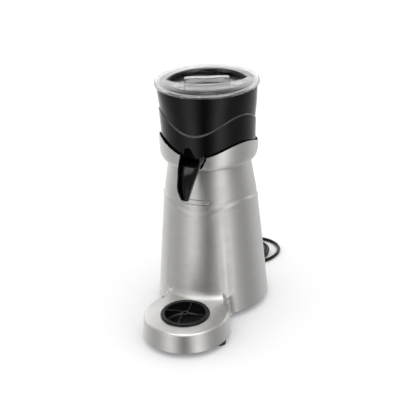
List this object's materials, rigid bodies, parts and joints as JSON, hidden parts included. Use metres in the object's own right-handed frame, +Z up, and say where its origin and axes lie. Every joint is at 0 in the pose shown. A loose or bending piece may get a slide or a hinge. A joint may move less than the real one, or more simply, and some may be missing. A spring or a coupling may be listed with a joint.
{
  "type": "citrus press juicer",
  "caption": "Electric citrus press: tapered brushed steel housing with a round drip foot, wavy collar, black bowl with open spout, ribbed reamer under a clear lid.",
  "frame": {"origin": "centre of the footprint of the housing and its foot, on the standing plane; the drive axis is 58.85 mm behind it", "axes": "+Z up, parallel to the drive axis; the spout and the foot face -Y; +X is the object's own left, the right as seen from the front"},
  "size_m": [0.1866, 0.4221, 0.3905],
  "materials": {
    "steel_shell": "brushed",
    "steel_collar": "brushed",
    "deck_steel": "satin",
    "screw_steel": "polished",
    "zinc_plate": "galvanised",
    "foot_rubber": "matte",
    "badge_steel": "satin",
    "cast_aluminium": "as cast",
    "lamination": "satin",
    "winding": "varnished",
    "bearing_steel": "polished",
    "seal_rubber": "matte",
    "capacitor_case": "matte",
    "terminal_plastic": "matte",
    "wire_sleeve": "satin",
    "switch_plastic": "satin",
    "rocker_plastic": "gloss",
    "cord_rubber": "satin",
    "tie_plastic": "satin",
    "plug_plastic": "satin",
    "pin_nickel": "nickel plated",
    "shaft_steel": "ground",
    "fan_plastic": "matte",
    "reamer_plastic": "satin",
    "bowl_plastic": "gloss",
    "spout_plastic": "gloss",
    "strainer_steel": "satin",
    "clear_acrylic": "clear",
    "cup_plastic": "satin",
    "grid_plastic": "gloss"
  },
  "bodies": {
    "housing": {"body_shell": "steel_shell", "collar_ring": "steel_collar", "deck_plate": "deck_steel", "deck_screws": "screw_steel", "base_plate": "zinc_plate", "base_screws": "screw_steel", "rubber_feet": "foot_rubber", "badge_plate": "badge_steel", "motor_bolts": "screw_steel", "isolation_bushes": "foot_rubber", "upper_shield": "cast_aluminium", "lower_shield": "cast_aluminium", "stator_core": "lamination", "stator_winding": "winding", "tie_bolts": "screw_steel", "upper_bearing": "bearing_steel", "lower_bearing": "bearing_steel", "shaft_seal": "seal_rubber", "run_capacitor": "capacitor_case", "capacitor_clip": "zinc_plate", "terminal_block": "terminal_plastic", "inner_wiring": "wire_sleeve", "switch_body": "switch_plastic", "cord_gland": "cord_rubber", "power_cord": "cord_rubber", "cord_coil": "cord_rubber", "plug_lead": "cord_rubber", "cord_tie": "tie_plastic", "plug_body": "plug_plastic", "plug_pins": "pin_nickel"},
    "drive": {"drive_shaft": "shaft_steel", "rotor_core": "lamination", "rotor_rings": "cast_aluminium", "cooling_fan": "fan_plastic", "drive_pin": "shaft_steel"},
    "reamer": {"reamer_cone": "reamer_plastic"},
    "bowl": {"juice_bowl": "bowl_plastic", "pour_spout": "spout_plastic"},
    "strainer_part": {"strainer": "strainer_steel"},
    "lid_part": {"lid": "clear_acrylic"},
    "cup": {"drip_cup": "cup_plastic"},
    "grid": {"drip_grid": "grid_plastic"},
    "rocker": {"switch_rocker": "rocker_plastic"}
  },
  "joints": [
    {"name": "drive_spin", "type": "hinge", "parent": "housing", "child": "drive", "pos_m": [0, 0.05885, 0.0095], "axis": [0, 0, 1], "continuous": true},
    {"name": "reamer_lift", "type": "slide", "parent": "drive", "child": "reamer", "axis": [0, 0, 1], "range_m": [0, 0.06]},
    {"name": "bowl_lift", "type": "slide", "parent": "housing", "child": "bowl", "axis": [0, 0, 1], "range_m": [0, 0.06]},
    {"name": "strainer_lift", "type": "slide", "parent": "bowl", "child": "strainer_part", "axis": [0, 0, 1], "range_m": [0, 0.045]},
    {"name": "lid_lift", "type": "slide", "parent": "bowl", "child": "lid_part", "axis": [0, 0, 1], "range_m": [0, 0.1]},
    {"name": "cup_lift", "type": "slide", "parent": "housing", "child": "cup", "axis": [0, 0, 1], "range_m": [0, 0.06]},
    {"name": "grid_lift", "type": "slide", "parent": "cup", "child": "grid", "axis": [0, 0, 1], "range_m": [0, 0.04]},
    {"name": "switch_rock", "type": "hinge", "parent": "housing", "child": "rocker", "pos_m": [0, 0.14653, 0.0715], "axis": [-1, 0, 0], "range_deg": [0, 14]}
  ],
  "couplings": [
    {"joint": "reamer_lift", "follows": "bowl_lift", "ratio": 1}
  ]
}
